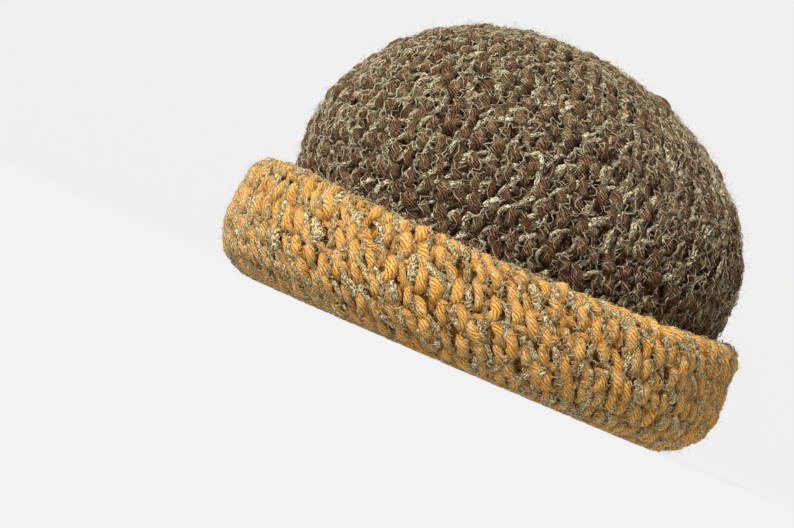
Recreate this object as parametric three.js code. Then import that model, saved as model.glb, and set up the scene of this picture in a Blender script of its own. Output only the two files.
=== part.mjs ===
import * as THREE from 'three';

// A crocheted hat with a big rolled brim, in millimetres, +Z up, resting on its brim.
// The front is -Y, the back +Y and the wearer's left +X. A section is the cut from the hat's
// axis outwards at one angle around it: r is the distance from the axis and z the height.

// Sizes of the whole
const ovalWidth = 0.915; // width from side to side, as a share of the length from front to back
const wall = 6; // thickness of the worked fabric
const seam = 0.3; // gap where the crown's yarn ends and the brim's begins
const sectors = 72; // steps around the hat

// The crown: a dome over a wall that draws in to the opening
const crownTop = 182;
const crownWidest = 124.3; // outer r at widestHeight
const widestHeight = 88.5;
const rimRadius = 101.5; // outer r of the crown's lower end
const rimHeight = 12; // its height
const drawIn = 1.75; // power of the curve from widest to rim: higher stays wide for longer
const domeRise = 1.8; // powers of the dome's outline, 2 and 2 being an ellipse
const domeFlat = 2.2;
const crownLean = 9; // how far the top stands in front of the crown's axis
const leanPower = 2.5;

// The brim's roll, by the middle line of its wall
const heelRadius = 142; // r where the side of the roll would meet the ground
const shoulderDraw = 5; // how far the roll leans in between there and its top
const bottomBend = 5.6; // radii of its bends, apart from the heel's in the table below
const tuckBend = 3.4;
const shoulderShare = 0.6; // radius of the outer bend at the top, as a share of the top's width
const tuckGap = 1; // from the tucked edge to the crown

// How the roll differs around the hat: at is the angle in degrees from the front towards the
// wearer's left, top its height, out how far it stands out, heel the radius of its lower bend and
// tuck the height of its free edge.
const around = [
  { at: 0, top: 63.5, out: 3.7, heel: 26, tuck: 30 },
  { at: 30, top: 62.5, out: 3.9, heel: 26, tuck: 31 },
  { at: 60, top: 58.5, out: 1, heel: 26, tuck: 29 },
  { at: 90, top: 57, out: -0.5, heel: 27, tuck: 28 },
  { at: 120, top: 59, out: -0.1, heel: 27.5, tuck: 29 },
  { at: 150, top: 64.5, out: -1.7, heel: 28.5, tuck: 31 },
  { at: 180, top: 68.5, out: -3.7, heel: 29, tuck: 32 },
  { at: 210, top: 66.5, out: -2.7, heel: 28.5, tuck: 32 },
  { at: 240, top: 62, out: -0.1, heel: 27.5, tuck: 30 },
  { at: 270, top: 60, out: 0, heel: 27, tuck: 29 },
  { at: 300, top: 60.5, out: 0.1, heel: 26.5, tuck: 29 },
  { at: 330, top: 62.5, out: 2.5, heel: 26, tuck: 30 },
];

// One column of the table above at an angle in radians, as a smooth closed curve through its rows.
function aroundHat(column, angle) {
  const count = around.length;
  const rowsPast = (angle / (2 * Math.PI)) * count;
  const row = Math.floor(rowsPast);
  const value = (step) => around[(row + step + count) % count][column];
  const share = rowsPast - row;
  const [before, here, next, after] = [-1, 0, 1, 2].map(value);
  const slopeHere = (next - before) / 2;
  const slopeNext = (after - here) / 2;
  const rise = next - here;
  const cubic = slopeHere + slopeNext - 2 * rise;
  const square = 3 * rise - 2 * slopeHere - slopeNext;
  return here + share * (slopeHere + share * (square + share * cubic));
}

// The crown's outer r at a height on its wall, below the widest place.
function crownRadius(z) {
  const down = (widestHeight - z) / (widestHeight - rimHeight);
  return crownWidest - (crownWidest - rimRadius) * down ** drawIn;
}

// The crown's outer line from its lower end up the wall and over the dome to the axis.
function crownLine() {
  const wallSteps = 6;
  const domeSteps = 11;
  const line = [];
  for (let i = 0; i < wallSteps; i++) {
    const z = rimHeight + ((widestHeight - rimHeight) * i) / wallSteps;
    line.push(new THREE.Vector2(crownRadius(z), z));
  }
  for (let i = 0; i <= domeSteps; i++) {
    const turn = (Math.PI / 2) * (i / domeSteps);
    const r = crownWidest * Math.cos(turn) ** (2 / domeFlat);
    const z = widestHeight + (crownTop - widestHeight) * Math.sin(turn) ** (2 / domeRise);
    line.push(new THREE.Vector2(i === domeSteps ? 0 : r, z));
  }
  return line;
}

// A line moved sideways by a distance, to the left of its direction if that is above 0. Each
// stretch stays parallel to itself, and the points lie where neighbouring stretches meet.
function offsetLine(line, distance) {
  const last = line.length - 1;
  const direction = (i) => line[i + 1].clone().sub(line[i]).normalize();
  return line.map((point, i) => {
    const before = direction(Math.max(i - 1, 0));
    const after = direction(Math.min(i, last - 1));
    const along = before.add(after).normalize();
    const reach = distance / along.dot(after);
    return new THREE.Vector2(point.x - along.y * reach, point.y + along.x * reach);
  });
}

// A line through corners, each turned on an arc of its own bend radius in a number of steps.
function roundedLine(corners) {
  const line = [];
  corners.forEach((corner, i) => {
    const here = new THREE.Vector2(corner.r, corner.z);
    if (!corner.bend) {
      line.push(here);
      return;
    }
    const back = new THREE.Vector2(corners[i - 1].r, corners[i - 1].z).sub(here).normalize();
    const on = new THREE.Vector2(corners[i + 1].r, corners[i + 1].z).sub(here).normalize();
    const half = Math.acos(back.dot(on)) / 2;
    const middle = back.clone().add(on).normalize().multiplyScalar(corner.bend / Math.sin(half));
    const centre = here.clone().add(middle);
    const start = here.clone().addScaledVector(back, corner.bend / Math.tan(half));
    const turn = (Math.PI - 2 * half) * Math.sign(back.cross(on) * -1);
    for (let step = 0; step <= corner.steps; step++) {
      line.push(start.clone().rotateAround(centre, (turn * step) / corner.steps));
    }
  });
  return line;
}

// The brim's closed section at one angle: down from the crown's lower end, out along the
// ground, up round the heel, over the top and down again beside the crown.
function brimSection(angle) {
  const top = aroundHat('top', angle);
  const out = aroundHat('out', angle);
  const heel = aroundHat('heel', angle);
  const tuck = aroundHat('tuck', angle);
  const beside = tuckGap + wall / 2;
  const slope = crownRadius(rimHeight + 1) - crownRadius(rimHeight);
  const lean = Math.atan(slope);
  const startR = rimRadius - (wall / 2) * Math.cos(lean) - seam * Math.sin(lean);
  const startZ = rimHeight + (wall / 2) * Math.sin(lean) - seam * Math.cos(lean);
  const low = wall / 2;
  const high = top - wall / 2;
  const side = heelRadius + out;
  const topOuter = side - shoulderDraw;
  const topInner = crownRadius(high) + beside;
  const shoulderBend = shoulderShare * (topOuter - topInner);
  const halfway = (high + tuck) / 2;
  const middle = roundedLine([
    { r: startR, z: startZ },
    { r: startR - slope * (startZ - low), z: low, bend: bottomBend, steps: 3 },
    { r: side, z: low, bend: heel, steps: 6 },
    { r: topOuter, z: high, bend: shoulderBend, steps: 3 },
    { r: topInner, z: high, bend: tuckBend, steps: 2 },
    { r: crownRadius(halfway) + beside, z: halfway },
    { r: crownRadius(tuck) + beside, z: tuck },
  ]);
  const inside = offsetLine(middle, wall / 2);
  const outside = offsetLine(middle, -wall / 2);
  const end = middle[middle.length - 1];
  const edge = [1, 2].map((step) =>
    outside[outside.length - 1].clone().rotateAround(end, (Math.PI * step) / 3),
  );
  return [...outside, ...edge, ...inside.reverse()];
}

// Places a section's point around the oval. The dome leans to the front as it rises.
function place(point, angle) {
  const rise = Math.max(0, (point.y - widestHeight) / (crownTop - widestHeight));
  const x = ovalWidth * point.x * Math.sin(angle);
  const y = -point.x * Math.cos(angle) - crownLean * rise ** leanPower;
  return [x, y, point.y];
}

// A closed body swept around the hat through one section for each angle. A section either
// closes on itself or starts and ends on the axis, where its faces meet in one point.
function sweep(sectionAt, closed) {
  const positions = [];
  const faces = [];
  const sections = [];
  for (let i = 0; i < sectors; i++) {
    const angle = (2 * Math.PI * i) / sectors;
    sections.push(sectionAt(angle));
    sections[i].forEach((point) => positions.push(...place(point, angle)));
  }
  const count = sections[0].length;
  const onAxis = (j) => sections[0][j].x === 0;
  const corner = (i, j) => (onAxis(j) ? 0 : (i % sectors) * count) + j;
  for (let i = 0; i < sectors; i++) {
    for (let j = 0; j < (closed ? count : count - 1); j++) {
      const next = (j + 1) % count;
      if (!onAxis(j)) faces.push(corner(i, j), corner(i + 1, j), corner(i, next));
      if (!onAxis(next)) faces.push(corner(i + 1, j), corner(i + 1, next), corner(i, next));
    }
  }
  const geometry = new THREE.BufferGeometry();
  geometry.setAttribute('position', new THREE.Float32BufferAttribute(positions, 3));
  geometry.setIndex(faces);
  geometry.computeVertexNormals();
  return geometry;
}

// The crown's shell, from the top of its inside down, round its lower end and up the outside.
function crownGeometry() {
  const outer = crownLine();
  const inner = offsetLine(outer, wall);
  inner[inner.length - 1].x = 0;
  const section = [...inner.reverse(), ...outer];
  return sweep(() => section, false);
}

const brownYarn = new THREE.MeshStandardMaterial({ color: '#6b4d3c', roughness: 0.95, metalness: 0 });
const goldYarn = new THREE.MeshStandardMaterial({ color: '#c98a35', roughness: 0.8, metalness: 0 });

const crown = new THREE.Mesh(crownGeometry(), brownYarn);
crown.name = 'crown';

const rolledBrim = new THREE.Mesh(sweep(brimSection, true), goldYarn);
rolledBrim.name = 'rolled_brim';

// The origin is on the ground, in the middle of the brim's outline.
const hat = new THREE.Group();
hat.add(crown, rolledBrim);
const footprint = new THREE.Box3().setFromObject(rolledBrim).getCenter(new THREE.Vector3());
hat.position.set(-footprint.x, -footprint.y, 0);

export default hat;
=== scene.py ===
# A crocheted hat with a big rolled brim. Every stitch is a short fat strand of plied yarn that
# dives under its neighbours, with a thin curly sage yarn carried beside it. Finer sage threads and
# loose fibres lie on top, and short bars of yarn line the inside of the crown. Shapes are worked
# out in millimetres as whole arrays and become metres where a mesh is made.

import math

import bpy
import numpy as np
from mathutils import Matrix, Vector


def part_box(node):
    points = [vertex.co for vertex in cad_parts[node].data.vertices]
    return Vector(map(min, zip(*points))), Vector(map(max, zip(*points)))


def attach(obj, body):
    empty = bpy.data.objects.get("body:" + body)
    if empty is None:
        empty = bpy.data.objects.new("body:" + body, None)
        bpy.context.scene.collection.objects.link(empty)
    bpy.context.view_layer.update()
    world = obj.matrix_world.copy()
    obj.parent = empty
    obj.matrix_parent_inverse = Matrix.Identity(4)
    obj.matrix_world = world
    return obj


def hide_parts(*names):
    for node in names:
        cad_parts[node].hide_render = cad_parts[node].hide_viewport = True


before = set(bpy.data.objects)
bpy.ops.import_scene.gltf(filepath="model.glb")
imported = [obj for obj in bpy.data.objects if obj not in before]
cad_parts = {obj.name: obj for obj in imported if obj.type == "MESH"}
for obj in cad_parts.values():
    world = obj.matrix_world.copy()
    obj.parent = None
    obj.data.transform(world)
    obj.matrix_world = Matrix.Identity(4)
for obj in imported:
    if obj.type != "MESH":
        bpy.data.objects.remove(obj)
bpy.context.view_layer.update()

tau = 2 * math.pi

# The hat's form, the same sizes as its solids. r is the distance from the hat's axis.
form = {
    "ovalWidth": 0.915,  # side to side, as a share of front to back
    "wall": 6.0,
    "seam": 0.3,  # between the lower end of the crown and the brim's wall
    "crownTop": 182.0,
    "crownWidest": 124.3,
    "widestHeight": 88.5,
    "rimRadius": 101.5,  # the crown's lower end
    "rimHeight": 12.0,
    "drawIn": 1.75,  # power of the crown's wall
    "domeRise": 1.8,  # powers of the dome, for its height and its r
    "domeFlat": 2.2,
    "crownLean": 9.0,  # how far forwards the top stands
    "leanPower": 2.5,
    "heelRadius": 142.0,  # middle of the roll's outer wall
    "shoulderDraw": 5.0,  # how far that wall leans in at its top
    "bottomBend": 5.6,
    "shoulderShare": 0.6,  # the outer bend at the top, as a share of the roll's width there
    "tuckBend": 3.4,
    "tuckedBend": 40.0,  # soft bend of the tucked part, half way down
    "tuckGap": 1.0,  # between the crown and the tucked part
    "floor": 0.1,  # lowest place of any strand
}

# How the roll differs around the hat, every 30 degrees from the front towards the wearer's left:
# its height, how far it stands out, the radius of its lower bend and the height of its free edge.
around = {
    "top": [63.5, 62.5, 58.5, 57, 59, 64.5, 68.5, 66.5, 62, 60, 60.5, 62.5],
    "out": [3.7, 3.9, 1, -0.5, -0.1, -1.7, -3.7, -2.7, -0.1, 0, 0.1, 2.5],
    "heel": [26, 26, 26, 27, 27.5, 28.5, 29, 28.5, 27.5, 27, 26.5, 26],
    "tuck": [30, 31, 29, 28, 29, 31, 32, 32, 30, 29, 29, 30],
}


# Each vector divided by its own length.
def unit(vectors):
    return vectors / np.maximum(np.linalg.norm(vectors, axis=-1, keepdims=True), 1e-9)


# One row of the table above at any angles: a closed curve of cubics, each with the mean slope of
# its neighbours at its ends.
def aroundHat(column, angle):
    rows = np.array(around[column], float)
    spot = (angle / tau) * len(rows)
    row = np.floor(spot).astype(int)
    share = spot - row
    before, here, after, later = (rows[(row + step) % len(rows)] for step in (-1, 0, 1, 2))
    slopeHere, slopeAfter, rise = (after - before) / 2, (later - here) / 2, after - here
    cubic = slopeHere + slopeAfter - 2 * rise
    square = 3 * rise - 2 * slopeHere - slopeAfter
    return here + share * (slopeHere + share * (square + share * cubic))


# The crown's outer r on its wall: the widest r less a power of the share of the way down.
def crownRadius(z):
    down = (form["widestHeight"] - z) / (form["widestHeight"] - form["rimHeight"])
    return form["crownWidest"] - (form["crownWidest"] - form["rimRadius"]) * down ** form["drawIn"]


# The crown's outer line as (r, z): its wall, then a superellipse over the dome to the axis.
def crownLine():
    wallHeights = np.linspace(form["rimHeight"], form["widestHeight"], 80, endpoint=False)
    turn = np.linspace(0, math.pi / 2, 240)
    rise = form["crownTop"] - form["widestHeight"]
    domeR = form["crownWidest"] * np.clip(np.cos(turn), 0, 1) ** (2 / form["domeFlat"])
    domeZ = form["widestHeight"] + rise * np.sin(turn) ** (2 / form["domeRise"])
    r = np.concatenate([crownRadius(wallHeights), domeR])
    return np.stack([r, np.concatenate([wallHeights, domeZ])], -1)


# Lines moved to their left by a distance, along normals at right angles to their own direction.
def offsetLines(lines, distance):
    along = unit(np.gradient(lines, axis=-2))
    return lines + distance * np.stack([-along[..., 1], along[..., 0]], -1)


# Lines through corners, each turned on an arc: its centre lies on the corner's bisector, at
# bend / sin(half angle), and it starts bend / tan(half angle) before the corner.
def roundedLines(corners, bends, steps=24):
    points = [corners[0]]
    for before, here, after, bend in zip(corners, corners[1:], corners[2:], bends):
        back, on = unit(before - here), unit(after - here)
        half = np.arccos((back * on).sum(-1)) / 2
        centre = here + unit(back + on) * (bend / np.sin(half))[:, None]
        arm = here + back * (bend / np.tan(half))[:, None] - centre
        side = np.sign(back[:, 1] * on[:, 0] - back[:, 0] * on[:, 1])
        for share in np.linspace(0, 1, steps):
            turn = (math.pi - 2 * half) * side * share
            cos, sin = np.cos(turn), np.sin(turn)
            spun = [arm[:, 0] * cos - arm[:, 1] * sin, arm[:, 0] * sin + arm[:, 1] * cos]
            points.append(centre + np.stack(spun, -1))
    points.append(corners[-1])
    return np.stack(points, 1)


# The middle line of the brim's wall at each angle: down from the crown's lower end, out along
# the ground, up round the heel, over the top and down again beside the crown.
def brimLines(angles):
    top, out, heel, tuck = (aroundHat(name, angles) for name in ("top", "out", "heel", "tuck"))
    half = form["wall"] / 2
    beside = form["tuckGap"] + half
    slope = crownRadius(form["rimHeight"] + 1) - crownRadius(form["rimHeight"])
    lean = math.atan(slope)
    startR = form["rimRadius"] - half * math.cos(lean) - form["seam"] * math.sin(lean)
    startZ = form["rimHeight"] + half * math.sin(lean) - form["seam"] * math.cos(lean)
    high = top - half
    side = form["heelRadius"] + out
    topOuter = side - form["shoulderDraw"]
    topInner = crownRadius(high) + beside
    halfway = (high + tuck) / 2
    places = [
        (startR, startZ),
        (startR - slope * (startZ - half), half),
        (side, half),
        (topOuter, high),
        (topInner, high),
        (crownRadius(halfway) + beside, halfway),
        (crownRadius(tuck) + beside, tuck),
    ]
    corners = [np.stack([r + 0 * angles, z + 0 * angles], -1) for r, z in places]
    same = np.ones_like(angles)
    shoulder = form["shoulderShare"] * (topOuter - topInner)
    bends = [form["bottomBend"] * same, heel, shoulder]
    bends += [form[name] * same for name in ("tuckBend", "tuckedBend")]
    return roundedLines(corners, bends)


# Lines walked at even steps of their own length.
def evenSteps(lines, count):
    steps = np.linalg.norm(np.diff(lines, axis=1), axis=-1)
    walked = np.concatenate([np.zeros((len(lines), 1)), np.cumsum(steps, 1)], 1)
    walk = np.linspace(0, 1, count)
    both = [[np.interp(walk * w[-1], w, line[:, k]) for k in (0, 1)] for w, line in zip(walked, lines)]
    return np.moveaxis(np.array(both), 1, 2)


# Points of the hat from (r, z) at angles: an oval round the axis, whose dome leans forwards by a
# power of its rise above the widest place.
def place(lines, angles):
    r, z = lines[..., 0], lines[..., 1]
    rise = np.clip((z - form["widestHeight"]) / (form["crownTop"] - form["widestHeight"]), 0, 1)
    x = form["ovalWidth"] * r * np.sin(angles)[:, None]
    y = -r * np.cos(angles)[:, None] - form["crownLean"] * rise ** form["leanPower"]
    return np.stack([x, y, z], -1) + middle


# A surface as grids of points and outward normals, over angles and steps along its section. The
# normal is the cross product of the two directions of the grid.
def surface(lines, angles):
    points = place(lines, angles)
    wrapped = np.concatenate([points[-1:], points, points[:1]])
    normals = np.cross(np.gradient(wrapped, axis=0)[1:-1], np.gradient(points, axis=1))
    size = np.linalg.norm(normals, axis=-1, keepdims=True)
    return points, np.where(size > 1e-7, normals / np.maximum(size, 1e-7), [0.0, 0.0, 1.0])


# Places on a surface grid at (angle, along), read between its four nearest points and lifted
# along the normal there. Returns them with the normals.
def onSurface(grid, angle, along, lift):
    points, normals = grid
    turns, steps = points.shape[:2]
    u = (angle / tau) % 1 * turns
    v = np.clip(along, 0, 1) * (steps - 1)
    i, j = np.floor(u).astype(int) % turns, np.minimum(np.floor(v).astype(int), steps - 2)
    shareU, shareV = (u - np.floor(u))[..., None], (v - j)[..., None]
    nextI = (i + 1) % turns

    def read(table):
        low = table[i, j] * (1 - shareU) + table[nextI, j] * shareU
        high = table[i, j + 1] * (1 - shareU) + table[nextI, j + 1] * shareU
        return low * (1 - shareV) + high * shareV

    normal = unit(read(normals))
    return read(points) + normal * lift[..., None], normal


# Makes an object of points in millimetres, faces as rows of equal length, an optional UV pair for
# each corner and named values for each point.
def makePiece(name, points, faceGroups, uvGroups=None, values=None):
    mesh = bpy.data.meshes.new(name)
    loops = np.concatenate([faces.ravel() for faces in faceGroups]).astype(np.int32)
    totals = np.concatenate([np.full(len(f), f.shape[1]) for f in faceGroups]).astype(np.int32)
    mesh.vertices.add(len(points))
    mesh.vertices.foreach_set("co", (points * 0.001).astype(np.float32).ravel())
    mesh.loops.add(len(loops))
    mesh.loops.foreach_set("vertex_index", loops)
    mesh.polygons.add(len(totals))
    mesh.polygons.foreach_set("loop_start", (np.cumsum(totals) - totals).astype(np.int32))
    mesh.polygons.foreach_set("use_smooth", np.ones(len(totals), bool))
    if uvGroups is not None:
        pairs = np.concatenate([uv.reshape(-1, 2) for uv in uvGroups]).astype(np.float32)
        mesh.uv_layers.new(name="strand").data.foreach_set("uv", pairs.ravel())
    for key, numbers in (values or {}).items():
        layer = mesh.attributes.new(key, "FLOAT", "POINT")
        layer.data.foreach_set("value", np.asarray(numbers, np.float32).ravel())
    mesh.update(calc_edges=True)
    mesh.validate()
    piece = bpy.data.objects.new(name, mesh)
    bpy.context.scene.collection.objects.link(piece)
    print(f"{name}: {int((totals - 2).sum())} triangles")
    return piece


# Rings of points round strands. Each ring is an oval: a half width along the side of the path by a
# half depth along the surface's normal. Points are kept above the floor.
def ringPoints(centre, normal, halfWidth, halfDepth, sides):
    along = unit(np.gradient(centre, axis=1))
    side = unit(np.cross(along, normal))
    lift = np.cross(side, along)
    turn = tau * np.arange(sides)[:, None] / sides
    points = (
        centre[:, :, None]
        + (side * halfWidth[..., None])[:, :, None] * np.cos(turn)
        + (lift * halfDepth[..., None])[:, :, None] * np.sin(turn)
    )
    points[..., 2] = np.maximum(points[..., 2], form["floor"])
    return points


# Closed tubes along strands, all in one piece, with their ends capped. The map gives the share of the
# way around and the length walked in centimetres, which starts up to 7 cm on by the strand's tone. Tone
# is one number for each strand, and at each ring a share of painted shade says how far it has dived.
def tubePiece(name, strandSet, sides):
    centre, normal, halfWidth, halfDepth, tone, diveShade = strandSet
    count, rings = centre.shape[:2]
    points = ringPoints(centre, normal, halfWidth, halfDepth, sides)
    index = np.arange(count * rings * sides).reshape(count, rings, sides)
    beside = np.roll(index, -1, axis=2)
    quads = np.stack([index[:, :-1], index[:, 1:], beside[:, 1:], beside[:, :-1]], -1)
    steps = np.linalg.norm(np.diff(centre, axis=1, prepend=centre[:, :1]), axis=-1)
    walked = np.cumsum(steps, 1) / 10 + tone[:, None] * 7
    u = np.broadcast_to(np.arange(sides) / sides, (count, rings - 1, sides))
    low = np.broadcast_to(walked[:, :-1, None], u.shape)
    high = np.broadcast_to(walked[:, 1:, None], u.shape)
    uv = np.stack([u, low, u, high, u + 1 / sides, high, u + 1 / sides, low], -1)
    ends = [index[:, 0], index[:, -1, ::-1]]
    endUv = [np.zeros((count, sides, 2))] * 2
    values = {
        "tone": np.broadcast_to(tone[:, None, None], index.shape),
        "diveShade": np.broadcast_to(diveShade[..., None], index.shape),
    }
    faces = [quads.reshape(-1, 4), *ends]
    return makePiece(name, points.reshape(-1, 3), faces, [uv, *endUv], values)


# Closed needles along strands, all in one piece: rings of three points up to the last point of
# each strand, which is its tip.
def needlePiece(name, strandSet):
    centre, normal, half, _, tone, _ = strandSet
    rings = ringPoints(centre, normal, half, half, 3)[:, :-1]
    tips = centre[:, -1] * 1.0
    tips[:, 2] = np.maximum(tips[:, 2], form["floor"])
    index = np.arange(rings.size // 3).reshape(rings.shape[:3])
    beside = np.roll(index, -1, axis=2)
    quads = np.stack([index[:, :-1], index[:, 1:], beside[:, 1:], beside[:, :-1]], -1)
    tip = (index.size + np.arange(len(tips)))[:, None] + 0 * index[:, -1]
    ends = np.stack([index[:, -1], tip, beside[:, -1]], -1)
    faces = [quads.reshape(-1, 4)] if quads.size else []
    faces += [ends.reshape(-1, 3), index[:, 0]]
    points = np.concatenate([rings.reshape(-1, 3), tips])
    tones = np.concatenate([np.repeat(tone, index[0].size), tone])
    return makePiece(name, points, faces, values={"tone": tones})


# Linear colour from an sRGB hex value.
def linear(code):
    parts = [int(code[k : k + 2], 16) / 255 for k in (1, 3, 5)]
    return [c / 12.92 if c < 0.04045 else ((c + 0.055) / 1.055) ** 2.4 for c in parts] + [1]


# Adds a node and returns one of its outputs. Its inputs are a list in their order or a dictionary,
# and hold values or the sockets that feed them.
def addNode(tree, kind, inputs=(), output=0, **settings):
    node = tree.nodes.new("ShaderNode" + kind)
    for key, value in settings.items():
        setattr(node, key, value)
    for key, value in inputs.items() if isinstance(inputs, dict) else enumerate(inputs):
        if isinstance(value, bpy.types.NodeSocket):
            tree.links.new(value, node.inputs[key])
        else:
            node.inputs[key].default_value = value
    return node.outputs[output] if len(node.outputs) else None


# Starts a material without any node.
def newTree(name):
    material = bpy.data.materials.new(name)
    material.use_nodes = True
    material.node_tree.nodes.clear()
    return material, material.node_tree


# Lays colours of a look over its first one, each by its share, and joins them to a shader, with a
# bump from a height where there is one. The mix takes its share and its two colours at 0, 6 and 7.
def finishMaterial(tree, look, first, layers, height=None):
    colour = linear(look[first])
    for share, key in layers:
        mixed = {0: share, 6: colour, 7: linear(look[key])}
        colour = addNode(tree, "Mix", mixed, output=2, data_type="RGBA")
    inputs = {
        "Base Color": colour,
        "Roughness": look["roughness"],
        "Specular IOR Level": look["gloss"],
    }
    if height is not None:
        bump = {"Height": height, "Strength": look["bump"], "Distance": look["bumpDepth"] / 1000}
        inputs["Normal"] = addNode(tree, "Bump", bump)
    shader = addNode(tree, "BsdfPrincipled", inputs)
    addNode(tree, "OutputMaterial", {"Surface": shader})


# Ridges with narrow grooves between them: |sin| of a value times a number.
def ridges(tree, value, times):
    value = addNode(tree, "Math", [value, times], operation="MULTIPLY")
    value = addNode(tree, "Math", [value], operation="SINE")
    return addNode(tree, "Math", [value], operation="ABSOLUTE")


# Patches where the other yarn's fuzz lies over this one: a smooth noise above a level, which more
# of it passes higher up on the hat and where an extra is added.
def fuzzPatches(tree, spot, look, extra=0.0):
    rise = addNode(tree, "SeparateXYZ", [spot], output=2)
    noise = {"Vector": spot, "Scale": 1000 / look["patchSize"], "Detail": 2.0}
    patch = addNode(tree, "TexNoise", noise)
    patch = addNode(tree, "Math", [rise, look["patchRise"], patch], operation="MULTIPLY_ADD")
    patch = addNode(tree, "Math", [patch, extra], operation="ADD")
    return addNode(tree, "MapRange", [patch, look["patchFrom"], look["patchFrom"] + look["patchEdge"]])


# Plied wool, spun and twisted from several plies, then a little felted. To the eye it is matt, with
# soft ridges that slant across the strand, a painted highlight on them, and narrow grooves in painted
# shade. The strand's own map places them: |sin| of the length over the ply's pitch plus the way around,
# wavering a little. Finer fibres run along the plies and loose fuzz lies on them in any direction, both
# drawn much coarser than real ones so that they show. Painted shade makes the sides of a strand darker
# than its back and darkens it where it dives, and fuzz and curls of the thin yarn lie over some
# patches.
def pliedYarn(name, look):
    material, tree = newTree(name)
    strand = addNode(tree, "UVMap", uv_map="strand")
    u, v = (addNode(tree, "SeparateXYZ", [strand], output=k) for k in (0, 1))
    tone, diveShade = (addNode(tree, "Attribute", output=2, attribute_name=k) for k in ("tone", "diveShade"))
    spot = addNode(tree, "TexCoord", output=3)

    twist = addNode(tree, "Math", [u, look["crossings"]], operation="MULTIPLY")
    twist = addNode(tree, "Math", [v, 10 / look["plyPitch"], twist], operation="MULTIPLY_ADD")
    for size, plies in look["wavers"]:
        bits = addNode(tree, "TexNoise", {"Vector": spot, "Scale": 1000 / size, "Detail": 1.0})
        twist = addNode(tree, "Math", [bits, plies, twist], operation="MULTIPLY_ADD")
    wave = ridges(tree, twist, math.pi)
    wave = addNode(tree, "Math", [wave, *look["ridge"]], operation="MULTIPLY_ADD")
    noise = {"Vector": spot, "Scale": 1000 / look["feltSize"], "Detail": 1.0}
    clear = addNode(tree, "TexNoise", noise)
    clear = addNode(tree, "MapRange", [clear, *look["felted"], 0.0, look["plyDepth"]])
    height = addNode(tree, "Math", [wave, clear], operation="MULTIPLY")

    # Fibres: a noise that changes quickly across the plies and slowly along them, with another
    # slice of it for each strand.
    stretched = (twist, look["fibresPerPly"]), (u, look["fibreTurns"]), (tone, look["slices"])
    across = [addNode(tree, "Math", pair, operation="MULTIPLY") for pair in stretched]
    across = addNode(tree, "CombineXYZ", across)
    fine = {"Vector": across, "Scale": look["fibreScale"], "Detail": 3.0}
    loose = {"Vector": spot, "Scale": 1000 / look["fuzzSize"], "Detail": 3.0}
    for noise, amount in ((fine, look["fibre"]), (loose, look["fuzz"])):
        fuzz = addNode(tree, "TexNoise", noise)
        fuzz = addNode(tree, "Math", [fuzz, 0.5], operation="SUBTRACT")
        height = addNode(tree, "Math", [fuzz, amount, height], operation="MULTIPLY_ADD")

    # How far the strand faces outwards: the sine of the way around, frayed by the fuzz.
    outward = addNode(tree, "Math", [u, tau], operation="MULTIPLY")
    outward = addNode(tree, "Math", [outward], operation="SINE")
    outward = addNode(tree, "Math", [fuzz, look["ragged"], outward], operation="MULTIPLY_ADD")
    extra = look["patchSide"]
    beside = addNode(tree, "Math", [outward, -extra, extra], operation="MULTIPLY_ADD")
    patches = fuzzPatches(tree, spot, look, beside)

    # Curls of the thin yarn: the contours of a smooth noise, which lie in the grooves of its ridges.
    noise = {"Vector": spot, "Scale": 1000 / look["curlSize"], "Detail": 1.0}
    lines = ridges(tree, addNode(tree, "TexNoise", noise), math.pi * look["contours"])
    lines = addNode(tree, "MapRange", [lines, *look["threadWidth"]])
    lines = addNode(tree, "Math", [lines, patches], operation="MULTIPLY")
    # Over the grooves' painted shade lie the yarn's own colour, a painted highlight on the ridges,
    # painted shade at the sides, the strand's random tone, fuzz patches, threads and painted shade
    # where it dives.
    layers = [
        (addNode(tree, "MapRange", [height, *look["bodyHeights"]]), "body"),
        (addNode(tree, "MapRange", [height, *look["crestHighlightHeights"]]), "crestHighlight"),
        (addNode(tree, "MapRange", [outward, *look["sideShadeRange"], 0.0, look["sideShadeShare"]]), "side"),
        (addNode(tree, "Math", [tone, look["toneShare"]], operation="MULTIPLY"), "other"),
        (addNode(tree, "Math", [patches, look["patchShare"]], operation="MULTIPLY"), "patch"),
        (addNode(tree, "Math", [lines, look["threadShare"]], operation="MULTIPLY"), "thread"),
        (diveShade, "depth"),
    ]
    height = addNode(tree, "Math", [lines, look["threadHeight"], height], operation="MULTIPLY_ADD")
    finishMaterial(tree, look, "grooveShade", layers, height)
    return material
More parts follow.
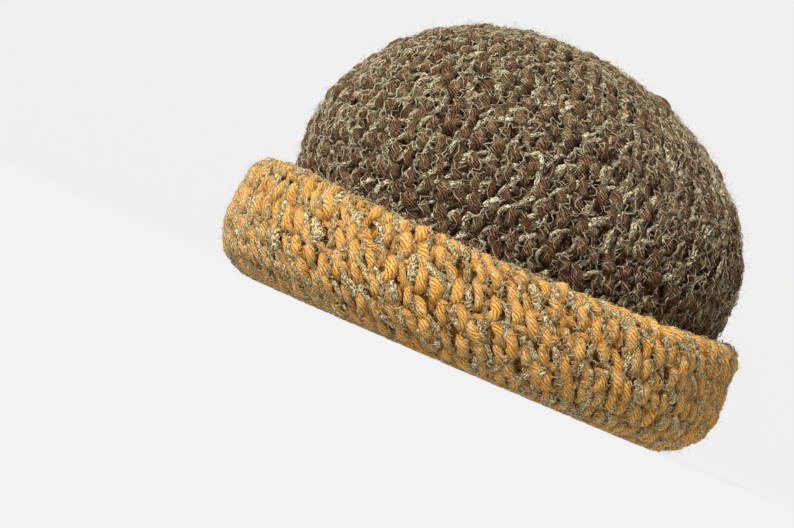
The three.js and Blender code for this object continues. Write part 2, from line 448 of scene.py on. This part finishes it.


# A thin curly yarn, loosely spun with a silky thread. To the eye it is a pale crumbly tangle that
# shines a little beside the matt wool. Its threads are the contour lines of a smooth noise drawn out
# along the strand: ridges with a painted highlight where |sin| of the noise times a count is low, and
# gaps in painted shade, tinted as the yarn below, where it is high. They are drawn as coarse as they
# need to show. Fuzz of the thick yarn lies over some patches, and painted shade darkens the yarn where
# it dives or turns under.
def curlyYarn(name, look):
    material, tree = newTree(name)
    spot = addNode(tree, "TexCoord", output=3)
    tone, diveShade = (addNode(tree, "Attribute", output=2, attribute_name=k) for k in ("tone", "diveShade"))
    strand = addNode(tree, "UVMap", uv_map="strand")
    u, v = (addNode(tree, "SeparateXYZ", [strand], output=k) for k in (0, 1))

    # The place on a round strand that turns as it goes, so that the noise has no seam.
    turn = addNode(tree, "Math", [u, tau], operation="MULTIPLY")
    turn = addNode(tree, "Math", [v, look["twist"], turn], operation="MULTIPLY_ADD")
    onStrand = []
    for operation in ("COSINE", "SINE"):
        way = addNode(tree, "Math", [turn], operation=operation)
        onStrand.append(addNode(tree, "Math", [way, look["radius"]], operation="MULTIPLY"))
    onStrand.append(addNode(tree, "Math", [v, 10 / look["drawnOut"]], operation="MULTIPLY"))
    onStrand = addNode(tree, "CombineXYZ", onStrand)

    noise = {"Vector": onStrand, "Scale": 1 / look["curlSize"], "Detail": 1.2}
    wave = ridges(tree, addNode(tree, "TexNoise", noise), tau * look["contours"])
    wave = addNode(tree, "Math", [wave, *look["ridge"]], operation="MULTIPLY_ADD")
    noise = {"Vector": spot, "Scale": 1000 / look["grainSize"], "Detail": 2.0}
    grain = addNode(tree, "TexNoise", noise)
    grain = addNode(tree, "Math", [grain, 0.5], operation="SUBTRACT")
    height = addNode(tree, "Math", [grain, look["grain"], wave], operation="MULTIPLY_ADD")
    patches = fuzzPatches(tree, spot, look)
    # Over the gaps' painted shade lie the thread's own colour, a painted highlight on its ridges, its
    # random tone, fuzz patches and painted shade where the yarn dives or turns under.
    layers = [
        (addNode(tree, "MapRange", [height, *look["bodyHeights"]]), "body"),
        (addNode(tree, "MapRange", [height, *look["highlightHeights"]]), "light"),
        (addNode(tree, "Math", [tone, look["toneShare"]], operation="MULTIPLY"), "other"),
        (addNode(tree, "Math", [patches, look["patchShare"]], operation="MULTIPLY"), "patch"),
        (diveShade, "shadedGap"),
    ]
    finishMaterial(tree, look, "shadedGap", layers, height)
    return material


# Single fibres that stand off the yarn, each in one colour of its own. To the eye they are a soft
# blur on the yarn and a thin halo at the outline.
def looseFibre(name, look):
    material, tree = newTree(name)
    tone = addNode(tree, "Attribute", output=2, attribute_name="tone")
    finishMaterial(tree, look, "dark", [(tone, "light")])
    return material


# The crocheted fabric behind the stitches. To the eye it is specks of yarn between them, darkened by
# painted shade.
def backingYarn(name, look):
    material, tree = newTree(name)
    spot = addNode(tree, "TexCoord", output=3)
    noise = {"Vector": spot, "Scale": 1000 / look["bitSize"], "Detail": 3.0}
    bits = addNode(tree, "TexNoise", noise)
    specks = addNode(tree, "MapRange", [bits, *look["speckHeights"]])
    finishMaterial(tree, look, "dark", [(specks, "light")], bits)
    return material


# Colours and sizes of the yarns, in millimetres. First, what both thick yarns share.
pliedLook = {
    "ridge": (2.0, -1.1),  # the plies' height: how much ridges add, and where grooves lie
    "feltSize": 9.0,  # size of the places where plies are clear or felted over
    "felted": (0.15, 0.5),  # noise from fully felted to clear
    "fibreTurns": 3.0,  # changes of the fibres on the way around
    "slices": 60.0,  # how far apart the fibres of two strands are taken from the noise
    "fibreScale": 1.5,
    "fuzzSize": 1.0,
    "ragged": 2.0,  # how much fuzz frays the edge between a strand's back and its sides
    # Heights where the grooves' painted shade gives way to the body's colour and then to a painted
    # highlight, and where painted shade falls on a strand's sides.
    "bodyHeights": (-0.7, 0.1),  # from the groove's colour to the body's
    "crestHighlightHeights": (0.0, 1.0),
    "sideShadeRange": (0.8, -0.1),  # from back to side, as the sine of the way around
    "toneShare": 0.35,
    "patchSize": 6.0,
    "patchEdge": 0.14,
    "curlSize": 2.6,
    "contours": 4.0,
    "threadWidth": (0.5, 0.15),  # from beside a thread to on it
    "threadShare": 0.6,
    "threadHeight": 0.8,
    "bump": 0.55,
    "bumpDepth": 0.7,
}
goldLook = {
    **pliedLook,
    "plyPitch": 2.3,
    "crossings": -8.5,  # plies crossed on the way around
    "plyDepth": 0.9,
    "wavers": [(7.0, 1.6), (2.0, 0.6)],  # sizes, and by how many plies
    "fibresPerPly": 5.0,
    "fibre": 2.0,
    "fuzz": 1.6,
    # Painted shade in the grooves between the plies.
    "grooveShade": "#8a430a",
    "body": "#c6862a",
    # A painted highlight on the plies' ridges.
    "crestHighlight": "#f2bc66",
    # Painted shade at the sides of each strand, where it turns down into the fabric.
    "side": "#9c5009",
    "sideShadeShare": 0.65,
    "other": "#bc8432",
    "patchRise": 0.0,  # more patches for each metre up
    "patchSide": 0.18,
    "patchFrom": 0.46,
    "patchShare": 0.3,
    "patch": "#b09562",
    "thread": "#d8c898",
    # Painted shade where a strand dives under its neighbours.
    "depth": "#6a3a08",
    "roughness": 0.7,
    "gloss": 0.12,
}
brownLook = {
    **pliedLook,
    "plyPitch": 1.7,
    "crossings": -12.0,
    "plyDepth": 0.75,
    "wavers": [(7.0, 1.6), (2.0, 0.8)],
    "fibresPerPly": 3.0,
    "fibre": 2.2,
    "fuzz": 2.3,
    # Painted shade in the grooves between the plies.
    "grooveShade": "#190903",
    "body": "#4a2f1f",
    # A painted highlight on the plies' ridges.
    "crestHighlight": "#876a4e",
    # Painted shade at the sides of each strand, where it turns down into the fabric.
    "side": "#22110a",
    "sideShadeShare": 0.7,
    "other": "#3c2414",
    "patchRise": 1.0,
    "patchSide": 0.1,
    "patchFrom": 0.62,
    "patchShare": 0.32,
    "patch": "#7c6c4c",
    "thread": "#b8ab84",
    # Painted shade where a strand dives under its neighbours.
    "depth": "#140500",
    "roughness": 0.85,
    "gloss": 0.05,
}

# What the thin yarn shows on both parts. Threads that lie on top are lighter than bands.
sageLook = {
    "curlSize": 1.8,
    "twist": 1.5,  # radians for each centimetre
    "ridge": (-2.4, 1.5),
    "grainSize": 0.8,
    "grain": 2.0,
    # Heights where the gaps' painted shade gives way to the thread's colour and then to a painted
    # highlight.
    "bodyHeights": (-0.5, 0.3),
    "highlightHeights": (0.3, 1.3),
    "patchSize": 4.0,
    "patchRise": 0.0,
    "patchEdge": 0.14,
    "patchFrom": 0.52,
    "patchShare": 0.35,
    "bump": 0.5,
    "bumpDepth": 0.5,
    "roughness": 0.6,
    "gloss": 0.15,
}
brimSageLook = {
    **sageLook,
    "contours": 2.2,
    "radius": 2.0,
    "drawnOut": 1.5,
    # Painted shade between the threads, tinted as the yarn below; a painted highlight on their ridges
    # two lines on.
    "shadedGap": "#5c3e14",
    "body": "#aea27c",
    # A painted highlight on the threads' ridges.
    "light": "#e2d8b4",
    "other": "#a28850",
    "toneShare": 0.3,
    "patch": "#c4964a",
}
crownSageLook = {
    **sageLook,
    "contours": 2.4,
    "radius": 1.5,
    "drawnOut": 1.8,
    # Painted shade between the threads, tinted as the yarn below; a painted highlight on their ridges
    # two lines on.
    "shadedGap": "#25150a",
    "body": "#a09474",
    # A painted highlight on the threads' ridges.
    "light": "#e8ddba",
    "other": "#8c7c58",
    "toneShare": 0.35,
    "patch": "#5c4528",
}
brimThreadLook = {
    **brimSageLook,
    # Painted shade between the threads, tinted as the yarn below; a painted highlight on their ridges
    # two lines on.
    "shadedGap": "#9c8a5e",
    "body": "#beb289",
    # A painted highlight on the threads' ridges.
    "light": "#fbf3d4",
    "patchShare": 0.3,
}
crownThreadLook = {
    **crownSageLook,
    # Painted shade between the threads, tinted as the yarn below; a painted highlight on their ridges
    # two lines on.
    "shadedGap": "#a09170",
    "body": "#d4c8a4",
    # A painted highlight on the threads' ridges.
    "light": "#fdf4d6",
    "patchShare": 0.2,
}
goldFuzzLook = {"dark": "#c08a3c", "light": "#e0cf9e", "roughness": 0.7, "gloss": 0.2}
brownFuzzLook = {"dark": "#7a6a4c", "light": "#c4b894", "roughness": 0.7, "gloss": 0.2}
goldBackLook = {
    "bitSize": 2.2,
    "speckHeights": (0.42, 0.62),
    # The fabric shows in the gaps between stitches, so both its colours are the yarn darkened by
    # painted shade.
    "dark": "#48280a",
    "light": "#7c5417",
    "bump": 1.0,
    "bumpDepth": 1.0,
    "roughness": 0.9,
    "gloss": 0.1,
}
# The brown fabric's colours are the brown yarn darkened by painted shade, likewise.
brownBackLook = {**goldBackLook, "dark": "#1a0d06", "light": "#43301e"}

print("materials")
goldYarn = pliedYarn("plied mustard wool yarn", goldLook)
brownYarn = pliedYarn("plied brown wool yarn", brownLook)
brimSage = curlyYarn("curly sage yarn lying on the brim", brimSageLook)
crownSage = curlyYarn("curly sage yarn lying on the crown", crownSageLook)
brimThread = curlyYarn("curly sage thread of the brim", brimThreadLook)
crownThread = curlyYarn("curly sage thread of the crown", crownThreadLook)
goldFuzz = looseFibre("loose mustard and sage fibres", goldFuzzLook)
brownFuzz = looseFibre("loose olive and sage fibres", brownFuzzLook)
goldBack = backingYarn("crochet fabric behind the gold stitches", goldBackLook)
brownBack = backingYarn("crochet fabric behind the brown stitches", brownBackLook)

# Surfaces of the hat. The brim's own box tells where its solid's middle was put.
print("surfaces")
angleCount = 360
sectionSteps = 420
angles = tau * np.arange(angleCount) / angleCount
middle = np.zeros(3)
brimMiddles = brimLines(angles)
brimOuter = evenSteps(offsetLines(brimMiddles, -form["wall"] / 2), sectionSteps)
spread = place(brimOuter, angles).reshape(-1, 3)
boxLow, boxHigh = (np.array(corner) * 1000 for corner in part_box("rolled_brim"))
middle = (boxLow + boxHigh) / 2 - (spread.min(0) + spread.max(0)) / 2
middle[2] = 0
brimSurface = surface(brimOuter, angles)
brimLength = np.linalg.norm(np.diff(brimOuter, axis=1), axis=-1).sum(1).mean()
crownLines = np.repeat(crownLine()[None], angleCount, 0)
crownOuter = evenSteps(crownLines, sectionSteps)
crownSurface = surface(crownOuter, angles)
crownLength = np.linalg.norm(np.diff(crownOuter[0], axis=0), axis=-1).sum()
print(f"brim section {brimLength:.1f} mm, crown section {crownLength:.1f} mm")

# How much painted shade a strand gets as it dives: from a depth on, over a length, up to a most. A curl
# gets painted shade on the side that it turns to the yarn below.
shade = {"from": 2.6, "over": 2.5, "most": 0.9, "curlOver": 4.0, "curlMost": 0.5}


# The places of stitches in rounds up a surface: for each, its middle angle, the angle between
# columns, its foot along the section and its row's height along it, as shares.
def rounds(feet, counts, drift):
    parts = []
    for k, count in enumerate(counts):
        step = tau / count
        angle = (np.arange(count) + 0.5 + drift * k) * step
        same = np.ones(count)
        parts.append([angle, step * same, feet[k] * same, (feet[k + 1] - feet[k]) * same])
    return np.concatenate(parts, 1)


# Strands of one shape at every stitch. Slant shears a strand sideways as it climbs, bow bends it
# out to one side in its middle, and its place, size and lift differ a little from the next. Swell
# makes it thicker and thinner along its way, and wobble moves it from side to side. Two sets with
# one seed lean alike, so the second can lie along the first.
def strands(grid, stitches, shape, vary, seed):
    random = np.random.default_rng(seed)
    angle, pitch, foot, height = (part[:, None] for part in stitches)
    across, up, lift, halfWidth, halfDepth = np.array(shape, float).T[:, None]

    keys = ("rise", "shift", "slant", "bow", "lift", "size")
    rise, shift, slant, bow, more, size = (
        random.standard_normal(angle.shape) * vary[key] for key in keys
    )
    up = up + rise
    level = up - 0.5
    across = across + shift - slant * level + bow * (1 - 4 * level ** 2)
    across = across + random.standard_normal(across.shape) * vary["wobble"]
    centre, normal = onSurface(grid, angle + across * pitch, foot + up * height, lift + more)
    size = 1 + size + random.standard_normal(across.shape) * vary["swell"]
    # Painted shade where the strand has dived deep under its neighbours.
    diveShade = np.clip((-lift - shade["from"]) / shade["over"], 0, shade["most"]) + 0 * size
    return centre, normal, halfWidth * size, halfDepth * size, random.random(len(angle)), diveShade


# Curly threads along a path at every stitch. Two turning offsets are added to the path, in the
# plane across it: a radius at angle t and a smaller one, the loop, at angle -2.3 t. Both differ
# from thread to thread, and the thickness differs from point to point and is less at both ends.
def curls(grid, stitches, shape, curl, vary):
    random = np.random.default_rng(curl["seed"])
    knots = np.linspace(0, 1, len(shape))
    share = np.linspace(0, 1, curl["rings"])
    finer = np.stack([np.interp(share, knots, column) for column in np.array(shape, float).T], -1)
    centre, normal, _, _, tone, _ = strands(grid, stitches, finer, vary, curl["seed"])
    side = np.cross(unit(np.gradient(centre, axis=1)), normal)
    each = (len(centre), 1)
    turn = tau * share * random.uniform(*curl["turns"], each) + tau * random.random(each)
    first = curl["radius"] * random.uniform(0.6, 1.3, each)
    second = curl["loop"] * random.uniform(0.5, 1.4, each)
    sideways = first * np.cos(turn) + second * np.cos(-2.3 * turn)
    upwards = first * np.sin(turn) + second * np.sin(-2.3 * turn)
    centre = centre + side * sideways[..., None] + normal * (upwards * curl["flat"])[..., None]
    half = curl["half"] * random.uniform(0.5, 1.5, centre.shape[:2])
    half[:, [0, -1]] *= 0.5
    # Painted shade on the side of each curl that turns down to the yarn below.
    return centre, normal, half, half, tone, np.clip(-upwards / shade["curlOver"], 0, shade["curlMost"])


# The path of a thin thread that lies along a strand: 0.1 mm over its back, to one side of it.
def alongStrand(shape, aside):
    rows = np.array(shape, float)
    rows[:, 0] += aside
    rows[:, 2] += rows[:, 4] + 0.1
    return rows


# Loose fibres at random places over a surface. Each is a thin arc that starts in the yarn, runs off
# in a random direction, rises and falls as the first 2.4 radians of a sine, and bends to one side
# by the square of the way, at its end by up to 0.35 of its length. Most are low and a few high. Of
# three times as many places, each is kept in proportion to its distance from the hat's axis, so
# that fibres stand evenly.
def fibres(grid, low, high, fuzz):
    random = np.random.default_rng(fuzz["seed"])
    count = fuzz["count"]
    share = np.linspace(0, 1, fuzz["rings"])
    angle, along = tau * random.random(count * 3), random.uniform(low, high, count * 3)
    spots, _ = onSurface(grid, angle, along, np.zeros(count * 3))
    radius = np.hypot(spots[:, 0] - middle[0], spots[:, 1] - middle[1])
    kept = np.argsort(random.random(count * 3) ** (100 / np.maximum(radius, 1)))[-count:]
    start, normal = onSurface(grid, angle[kept], along[kept], np.full(count, fuzz["root"]))
    heading = unit(np.cross(normal, random.standard_normal((count, 3))))
    sideways = np.cross(normal, heading)
    length = random.uniform(*fuzz["length"], (count, 1))
    height = fuzz["height"] * random.exponential(1, (count, 1)).clip(0.3, 2.6)
    bend = random.uniform(-0.35, 0.35, (count, 1))
    forward, rise = length * share, height * np.sin(share * 2.4)
    centre = (
        start[:, None]
        + heading[:, None] * forward[..., None]
        + sideways[:, None] * (bend * length * share ** 2)[..., None]
        + normal[:, None] * rise[..., None]
    )
    half = np.full(rise.shape, fuzz["half"])
    normals = np.broadcast_to(normal[:, None], centre.shape)
    return centre, normals, half, half, random.random(count), np.zeros(rise.shape)


# Gives a finished piece its material and body, and hides the node that it stands for.
def dress(piece, material, node):
    piece.data.materials.append(material)
    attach(piece, "root")
    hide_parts(node)


# A closed shell between two lines of a section, swept round the hat. The lines join at their
# ends, or end at the axis, where each gets a small cap in place of its last point.
def shellPiece(name, outer, inner, capped):
    if capped:
        outer, inner = outer[:, :-1], inner[:, :-1]
    loop = np.concatenate([outer, inner[:, ::-1]], 1)
    index = np.arange(loop.shape[0] * loop.shape[1]).reshape(loop.shape[:2])
    after = np.roll(index, -1, axis=1)
    quads = np.stack([index, np.roll(index, -1, 0), np.roll(after, -1, 0), after], -1)
    faces = [quads.reshape(-1, 4)]
    if capped:
        cut = outer.shape[1]
        faces = [np.delete(quads, cut - 1, axis=1).reshape(-1, 4), index[None, :, cut - 1]]
        faces.append(index[None, ::-1, cut])
    return makePiece(name, loop.reshape(-1, 3), faces)


# Adds one strand of a kind at every stitch of a part, as one piece. A part is its dictionary, its
# surface, its stitches, its slot and the node that it stands for.
def addStrands(part, name, key, material, sides, seed, vary="vary", kept=slice(None)):
    sizes, grid, stitches, slot, node = part
    parts = strands(grid, stitches[:, kept], sizes[key], sizes[vary], seed)
    dress(tubePiece(name, parts, sides), material, node)


# Adds a part's thin threads, which curl along its sage bands and stray over its posts, then its
# long and its short loose fibres, between two shares of its section.
def addThreads(part, name, low, high, thread, hair):
    sizes, grid, stitches, slot, node = part
    onBands = np.array(sizes["band"]) + [0, 0, sizes["curlLift"], 0, 0]
    onPosts = alongStrand(sizes["post"], sizes["strayAside"])
    for kind, key, path in (("Curls", "curl", onBands), ("Strays", "stray", onPosts)):
        parts = curls(grid, stitches, path, sizes[key], sizes["vary"])
        dress(tubePiece(name + kind, parts, sides=3), thread, node)
    for kind, key in (("Fuzz", "fuzz"), ("Nap", "nap")):
        parts = fibres(grid, low, high, sizes[key])
        dress(needlePiece(name + kind, parts), hair, node)


# Adds the fabric behind a part's stitches: a shell whose sides lie at two depths under its surface,
# worked out at every fourth angle. The lines given lie at a depth of their own.
def addFabric(part, name, lines, lineDepth, capped, material):
    sizes, _, _, slot, node = part
    sides = []
    for depth in (sizes["backDepth"], form["wall"]):
        moved = evenSteps(offsetLines(lines[::4], depth - lineDepth), sizes["backSteps"])
        sides.append(place(moved, angles[::4]))
    dress(shellPiece(name, *sides, capped), material, node)


# Brim. Each row of a shape is (across in column widths, up in row heights, lift above the
# surface, half width, half depth), from the foot of the stitch to its head.
brim = {
    "columns": 92,
    "rowHeight": 12.6,
    "rowsHidden": 2,  # rounds at the tucked edge, out of sight between roll and crown
    "drift": 0.42,  # sideways step of each round, in column widths
    "hookShare": 0.8,  # stitches that show a hook
    "fuzzFrom": 0.08,  # share of the section where loose fibres start
    "backDepth": 4.3,  # from the surface to the fabric behind the stitches
    "backSteps": 45,
    "post": [
        (0.12, -0.13, -5.6, 1.4, 1.2),
        (0.23, 0.06, -3.6, 2.2, 2.0),
        (0.23, 0.29, -2.5, 2.55, 2.3),
        (0.1, 0.52, -2.2, 2.65, 2.4),
        (-0.09, 0.75, -2.5, 2.5, 2.3),
        (-0.28, 0.96, -3.6, 2.1, 2.0),
        (-0.4, 1.13, -5.6, 1.3, 1.2),
    ],
    "underPost": [
        (0.50, -0.14, -5.4, 1.3, 1.1),
        (0.54, 0.28, -3.6, 2.2, 1.8),
        (0.48, 0.72, -3.6, 2.2, 1.8),
        (0.32, 1.14, -5.4, 1.3, 1.1),
    ],
    "hook": [
        (0.48, 0.72, -5.0, 1.1, 1.0),
        (0.28, 0.92, -3.4, 1.7, 1.5),
        (0.02, 1.02, -2.8, 1.9, 1.7),
        (-0.24, 1.0, -3.4, 1.7, 1.5),
        (-0.44, 0.86, -5.0, 1.1, 1.0),
    ],
    "band": [
        (0.58, -0.16, -4.8, 1.0, 0.9),
        (0.68, 0.06, -3.4, 1.8, 1.4),
        (0.68, 0.30, -2.6, 2.1, 1.6),
        (0.57, 0.54, -2.2, 2.2, 1.6),
        (0.40, 0.78, -2.1, 2.1, 1.6),
        (0.17, 0.98, -2.3, 1.8, 1.4),
        (-0.08, 1.08, -3.8, 1.0, 0.9),
    ],
    "vary": {
        "slant": 0.2,
        "bow": 0.13,
        "shift": 0.08,
        "rise": 0.16,
        "size": 0.14,
        "lift": 0.55,
        "swell": 0.1,
        "wobble": 0.04,
    },
    "bandVary": {
        "slant": 0.25,
        "bow": 0.2,
        "shift": 0.12,
        "rise": 0.2,
        "size": 0.18,
        "lift": 0.55,
        "swell": 0.2,
        "wobble": 0.06,
    },
    "curl": {
        "seed": 15,
        "rings": 20,
        "turns": (3.4, 5.2),
        "radius": 1.5,
        "loop": 0.7,
        "flat": 0.5,
        "half": 0.27,
    },
    "curlLift": 1.6,
    "stray": {
        "seed": 11,  # the posts' own, so that strays lie along them
        "rings": 9,
        "turns": (1.2, 2.4),
        "radius": 1.2,
        "loop": 0.5,
        "flat": 0.3,
        "half": 0.22,
    },
    "strayAside": 0.16,
    "fuzz": {
        "seed": 16,
        "count": 2600,
        "rings": 3,
        "root": -0.8,
        "length": (3.0, 8.0),
        "height": 1.9,
        "half": 0.05,
    },
    "nap": {
        "seed": 17,
        "count": 10000,
        "rings": 2,
        "root": -0.6,
        "length": (1.2, 3.2),
        "height": 1.6,
        "half": 0.09,
    },
}
print("brim")
rowCount = round(brimLength / brim["rowHeight"])
shown = rowCount - brim["rowsHidden"]
feet = np.linspace(0, 1, rowCount + 1)
brimStitches = rounds(feet, [brim["columns"]] * shown, brim["drift"])
brimPart = (brim, brimSurface, brimStitches, "gold_yarn", "rolled_brim")
hooked = np.random.default_rng(10).random(brimStitches.shape[1]) < brim["hookShare"]
addStrands(brimPart, "brimPosts", "post", goldYarn, sides=8, seed=11)
addStrands(brimPart, "brimUnderPosts", "underPost", goldYarn, sides=4, seed=12)
addStrands(brimPart, "brimHooks", "hook", goldYarn, sides=5, seed=13, kept=hooked)
addStrands(brimPart, "brimSageBands", "band", brimSage, sides=5, seed=14, vary="bandVary")
addThreads(brimPart, "brim", brim["fuzzFrom"], shown / rowCount, brimThread, goldFuzz)
addFabric(brimPart, "brimFabric", brimMiddles, form["wall"] / 2, False, goldBack)

# Crown, with shapes as for the brim.
crown = {
    "columnWidth": 9.1,
    "rowHeight": 10.4,
    "from": 52.0,  # height of the lowest round, hidden behind the roll
    "fewest": 6,
    "drift": 0.5,
    "fullOver": 8.0,  # all rounds up to this height over the widest place have as many stitches
    "roundShare": 0.957,  # length of a round, as a share of a circle's with the oval's longer r
    "backDepth": 4.1,
    "backSteps": 50,
    "post": [
        (0.16, -0.15, -6.0, 1.6, 1.4),
        (0.13, 0.04, -4.1, 2.4, 2.2),
        (0.07, 0.27, -3.0, 3.0, 2.6),
        (0.0, 0.5, -2.6, 3.1, 2.7),
        (-0.07, 0.73, -2.9, 3.0, 2.6),
        (-0.13, 0.96, -4.0, 2.4, 2.2),
        (-0.16, 1.15, -6.0, 1.6, 1.4),
    ],
    "underPost": [
        (0.40, 0.45, -5.6, 1.5, 1.2),
        (0.31, 0.84, -3.9, 2.5, 1.9),
        (0.20, 1.18, -3.9, 2.5, 1.9),
        (0.06, 1.55, -5.6, 1.5, 1.2),
    ],
    "inside": [
        (-0.46, 0.36, -5.2, 0.9, 0.8),
        (-0.17, 0.58, -6.1, 2.0, 1.3),
        (0.17, 0.58, -6.1, 2.0, 1.3),
        (0.46, 0.36, -5.2, 0.9, 0.8),
    ],
    "insideFrom": 0.01,  # share of the section where the bars start
    "insideVary": {
        "slant": 0.1,
        "bow": 0.05,
        "shift": 0.05,
        "rise": 0.06,
        "size": 0.1,
        "lift": 0.2,
        "swell": 0.05,
        "wobble": 0.02,
    },
    "band": [
        (-0.34, -0.24, -4.8, 0.8, 0.7),
        (-0.46, 0.0, -3.5, 1.4, 1.1),
        (-0.50, 0.28, -2.8, 1.7, 1.2),
        (-0.46, 0.56, -2.4, 1.7, 1.2),
        (-0.34, 0.82, -2.3, 1.6, 1.1),
        (-0.08, 1.0, -2.6, 1.4, 1.0),
        (0.22, 1.02, -3.8, 0.8, 0.7),
    ],
    "vary": {
        "slant": 0.2,
        "bow": 0.1,
        "shift": 0.09,
        "rise": 0.12,
        "size": 0.15,
        "lift": 0.7,
        "swell": 0.14,
        "wobble": 0.04,
    },
    "bandVary": {
        "slant": 0.34,
        "bow": 0.22,
        "shift": 0.15,
        "rise": 0.2,
        "size": 0.18,
        "lift": 0.7,
        "swell": 0.2,
        "wobble": 0.06,
    },
    "curl": {
        "seed": 24,
        "rings": 18,
        "turns": (2.0, 3.8),
        "radius": 1.4,
        "loop": 0.6,
        "flat": 0.5,
        "half": 0.25,
    },
    "curlLift": 1.5,
    "stray": {
        "seed": 21,
        "rings": 9,
        "turns": (1.3, 2.6),
        "radius": 1.3,
        "loop": 0.5,
        "flat": 0.3,
        "half": 0.2,
    },
    "strayAside": -0.12,
    "fuzz": {
        "seed": 25,
        "count": 3000,
        "rings": 3,
        "root": -0.8,
        "length": (3.0, 8.0),
        "height": 2.1,
        "half": 0.05,
    },
    "nap": {
        "seed": 26,
        "count": 14000,
        "rings": 2,
        "root": -0.6,
        "length": (1.4, 3.6),
        "height": 2.1,
        "half": 0.1,
    },
}
print("crown")
shares = np.linspace(0, 1, sectionSteps)
start = np.interp(crown["from"], crownOuter[0][:, 1], shares)


# Stitches of the crown from a share of its section up to its top. A round has as many as its
# length over the columns' width gives.
def crownRounds(first):
    rows = round((1 - first) * crownLength / crown["rowHeight"])
    feet = np.linspace(first, 1, rows + 1)
    radii = np.interp((feet[:-1] + feet[1:]) / 2, shares, crownOuter[0][:, 0])
    heights = np.interp(feet[:-1], shares, crownOuter[0][:, 1])
    counts = np.round(tau * radii * crown["roundShare"] / crown["columnWidth"]).astype(int)
    counts = np.where(heights < form["widestHeight"] + crown["fullOver"], counts.max(), counts)
    counts = np.maximum(counts, crown["fewest"])
    print("stitches", counts.sum())
    return rounds(feet, counts, crown["drift"])


crownPart = (crown, crownSurface, crownRounds(start), "brown_yarn", "crown")
addStrands(crownPart, "crownPosts", "post", brownYarn, sides=8, seed=21)
addStrands(crownPart, "crownUnderPosts", "underPost", brownYarn, sides=4, seed=22)
addStrands(crownPart, "crownSageBands", "band", crownSage, sides=5, seed=23, vary="bandVary")

# Each stitch shows on the inside as a short bar, whose top faces inwards.
inside = crownRounds(crown["insideFrom"])
centre, normal, *halves, tone, diveShade = strands(
    crownSurface, inside, crown["inside"], crown["insideVary"], seed=27
)
bars = tubePiece("crownInside", (centre, -normal, *halves, tone, 0 * diveShade), sides=4)
dress(bars, brownYarn, "crown")

addThreads(crownPart, "crown", start, 1.0, crownThread, brownFuzz)
addFabric(crownPart, "crownFabric", crownLines, 0, True, brownBack)

# Studio: a round of paper that curves up at its edge, a soft lamp high at the front left and the
# photograph's camera, rolled as the hat leans in it. The paper is dark but glows, as if it had
# lamps of its own, so that it shows evenly bright. Lengths are in metres here.
print("studio")
studio = {
    "paper": "#2a2a2a",
    "paperGlow": 0.846,
    "light": "#ffffff",
    "roughness": 0.9,
    "floorRadius": 2.2,
    "curve": 0.8,
    "wallHeight": 2.0,
    "keyFrom": (1.6, -1.35, 1.9),
    "keyAt": (0, 0, 0.09),
    "keySize": 0.2,
    "keyPower": 123,  # watts
    "worldStrength": 0.35,
}


# Makes the paper, a profile turned round the axis whose middle a small disc closes, its material,
# which looks evenly white, the lamp and the world's light.
def makeStudio():
    curve = studio["curve"]
    turn = np.linspace(-math.pi / 2, 0, 16)
    bend = np.stack([np.cos(turn) * curve + studio["floorRadius"], np.sin(turn) * curve + curve], -1)
    top = [studio["floorRadius"] + curve, studio["wallHeight"]]
    profile = np.concatenate([[[0.02, 0.0]], bend, [top]]) * 1000
    angle = tau * np.arange(96)[:, None] / 96
    x, y = profile[:, 0] * np.cos(angle), profile[:, 0] * np.sin(angle)
    points = np.stack([x, y, np.broadcast_to(profile[:, 1], x.shape)], -1)
    index = np.arange(x.size).reshape(x.shape)
    beside = np.roll(index, -1, 0)
    quads = np.stack([index[:, :-1], index[:, 1:], beside[:, 1:], beside[:, :-1]], -1)
    faces = [quads.reshape(-1, 4), index[None, :, 0]]
    paper = makePiece("studioPaper", points.reshape(-1, 3), faces)
    material, tree = newTree("matt seamless paper")
    inputs = {
        "Base Color": linear(studio["paper"]),
        "Roughness": studio["roughness"],
        "Specular IOR Level": 0.0,
        "Emission Color": linear(studio["light"]),
        "Emission Strength": studio["paperGlow"],
    }
    addNode(tree, "OutputMaterial", {"Surface": addNode(tree, "BsdfPrincipled", inputs)})
    paper.data.materials.append(material)
    lamp = bpy.data.lights.new("keyLamp", "AREA")
    lamp.shape, lamp.size, lamp.energy = "DISK", studio["keySize"], studio["keyPower"]
    key = bpy.data.objects.new("keyLamp", lamp)
    key.location = studio["keyFrom"]
    aim = Vector(studio["keyAt"]) - key.location
    key.rotation_euler = aim.to_track_quat("-Z", "Y").to_euler()
    bpy.context.scene.collection.objects.link(key)
    world = bpy.data.worlds.new("softbox")
    world.use_nodes = True
    light = world.node_tree.nodes["Background"].inputs
    light["Color"].default_value = linear(studio["light"])
    light["Strength"].default_value = studio["worldStrength"]
    bpy.context.scene.world = world
    bpy.context.scene.view_settings.view_transform = "Standard"


makeStudio()

# The camera's place and aim in metres, its roll in degrees, its sensor in millimetres, and the
# focal length and the width of the photograph in pixels.
view = {
    "from": (1.1, -0.0472, 0.012),
    "at": (0.0, -0.0472, 0.0382),
    "roll": 23.2,
    "sensor": 36,
    "focalPixels": 2036,
    "widthPixels": 794,
}


# Makes the camera, whose right and up are turned by the roll about its line of sight.
def makeCamera():
    data = bpy.data.cameras.new("camera")
    data.sensor_width = view["sensor"]
    data.lens = view["sensor"] * view["focalPixels"] / view["widthPixels"]
    data.clip_start, data.clip_end = 0.005, 20
    camera = bpy.data.objects.new("camera", data)
    forward = (Vector(view["at"]) - Vector(view["from"])).normalized()
    right = forward.cross(Vector((0, 0, 1))).normalized()
    up = right.cross(forward)
    cos, sin = math.cos(math.radians(view["roll"])), math.sin(math.radians(view["roll"]))
    axes = Matrix([right * cos + up * sin, up * cos - right * sin, -forward]).transposed()
    camera.matrix_world = Matrix.Translation(view["from"]) @ axes.to_4x4()
    bpy.context.scene.collection.objects.link(camera)
    bpy.context.scene.camera = camera


makeCamera()
